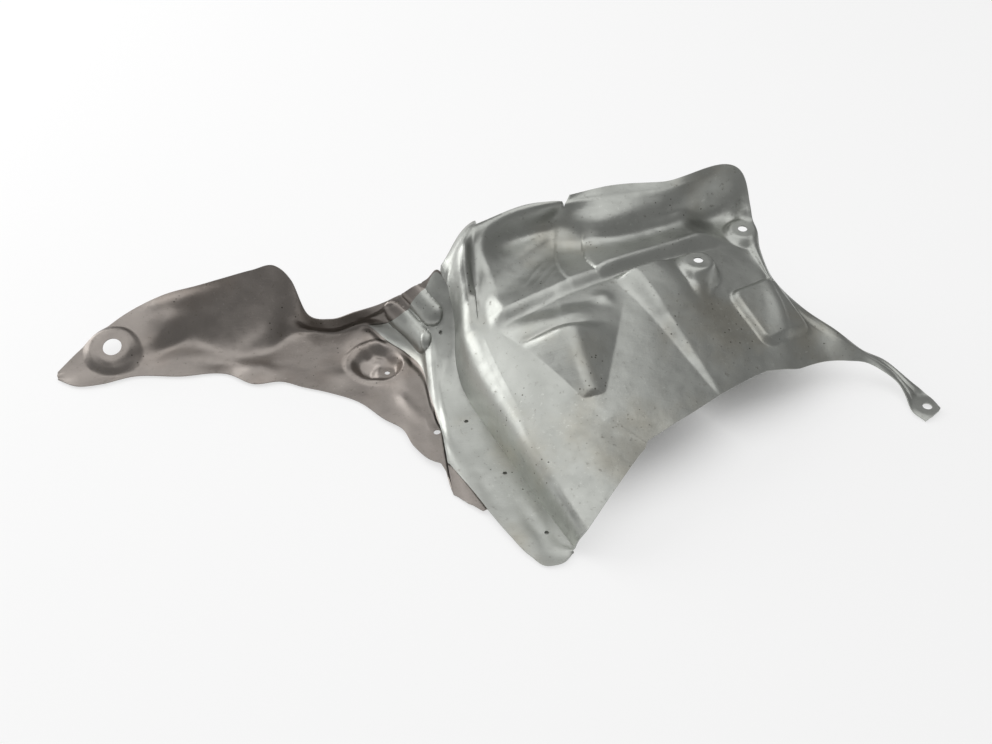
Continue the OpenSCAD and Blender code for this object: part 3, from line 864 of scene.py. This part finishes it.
def lights():
    for name, (place, size, power) in LAMPS.items():
        data = bpy.data.lights.new(name, "AREA")
        data.energy, data.size = power, size
        lamp = bpy.data.objects.new(name, data)
        bpy.context.scene.collection.objects.link(lamp)
        lamp.location = place
        lamp.rotation_mode = "QUATERNION"
        lamp.rotation_quaternion = (-Vector(place)).to_track_quat("-Z", "Y")
    world = bpy.data.worlds.new("studio")
    bpy.context.scene.world = world
    world.use_nodes = True
    world.node_tree.nodes["Background"].inputs[0].default_value = (1, 1, 1, 1)
    world.node_tree.nodes["Background"].inputs[1].default_value = WORLD_LEVEL


def floor():
    """White floor that keeps the object's shadow. Metal shows it as the camera does."""
    mesh = bpy.data.meshes.new("floor")
    corners = [(x * FLOOR_HALF, y * FLOOR_HALF, 0) for x, y in ((-1, -1), (1, -1), (1, 1), (-1, 1))]
    mesh.from_pydata(corners, [], [(0, 1, 2, 3)])
    obj = bpy.data.objects.new("floor", mesh)
    bpy.context.scene.collection.objects.link(obj)
    m = Shader("white_floor")
    m.put(m.surface.inputs["Base Color"], (FLOOR_WHITE, FLOOR_WHITE, FLOOR_WHITE, 1))
    m.put(m.surface.inputs["Roughness"], 0.9)
    m.put(m.surface.inputs["Specular IOR Level"], 0.0)
    path = m.nodes.new("ShaderNodeLightPath")
    white = m.nodes.new("ShaderNodeEmission")
    white.inputs["Strength"].default_value = 1.0
    seen = m.math("MAXIMUM", path.outputs["Is Camera Ray"], path.outputs["Is Glossy Ray"])
    seen = m.math("MAXIMUM", seen, path.outputs["Is Transmission Ray"])
    share = m.nodes.new("ShaderNodeMixShader")
    under = m.math("MAXIMUM", *(m.spot((x, y, 0), r, 0) for x, y, r in UNDERSIDE))
    clear = m.math("SUBTRACT", PLAIN_WHITE, m.math("MULTIPLY", under, PLAIN_WHITE))
    m.put(share.inputs[0], m.math("MULTIPLY", seen, clear))
    m.links.new(m.surface.outputs[0], share.inputs[1])
    m.links.new(white.outputs[0], share.inputs[2])
    m.links.new(share.outputs[0], m.nodes["Material Output"].inputs["Surface"])
    obj.data.materials.append(m.material)


def dress(obj, material, node=None):
    obj.data.materials.clear()
    obj.data.materials.append(material)
    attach(obj, "root")
    if node:
        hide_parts(node)


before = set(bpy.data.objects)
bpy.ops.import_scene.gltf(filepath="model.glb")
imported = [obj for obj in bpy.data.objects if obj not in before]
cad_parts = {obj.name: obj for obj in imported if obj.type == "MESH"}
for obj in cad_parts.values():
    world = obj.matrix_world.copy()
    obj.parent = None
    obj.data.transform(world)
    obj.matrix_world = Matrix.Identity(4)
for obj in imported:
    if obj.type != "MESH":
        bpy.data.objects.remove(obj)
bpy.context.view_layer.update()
bpy.context.scene.view_settings.view_transform = "Standard"
camera()
lights()
floor()

panel_metal = aluminium("panel_aluminium", *PANEL_METAL)
arm_metal = aluminium("arm_aluminium", *ARM_METAL)

rows = np.concatenate([np.arange(SHOULDER_ROWS) / SHOULDER_ROWS, steps(PANEL_ROWS, 1)])
panel = sheet("panel_sheet", panel_point(rows[:, None], steps(PANEL_STATIONS, 0)[None]))
cut(panel, hole_drills(["right", "middle", "strap"]) + [prism(NOTCH, -REACH, TOOL_TOP)])
dress(panel, panel_metal, "main_panel")

shares = np.linspace(0, 1, FLANGE_SHARES + 1)
flange = sheet("panel_flange", flange_point(steps(FLANGE_ROWS, 0)[:, None], shares[None]))
cut(flange, clinch_drills(CLINCH_D - SHEET_T))
dress(flange, panel_metal)
dress(clinch_cups(panel_metal), panel_metal)

arm = sheet("arm_sheet", arm_point(steps(ARM_ROWS, 0)[:, None], steps(ARM_STATIONS, 0)[None]))
cut(arm, hole_drills(["stud", "drain", "spare"]) + clinch_drills(CLINCH_D + 2 * CLINCH_PLAY))
dress(arm, arm_metal, "side_arm")
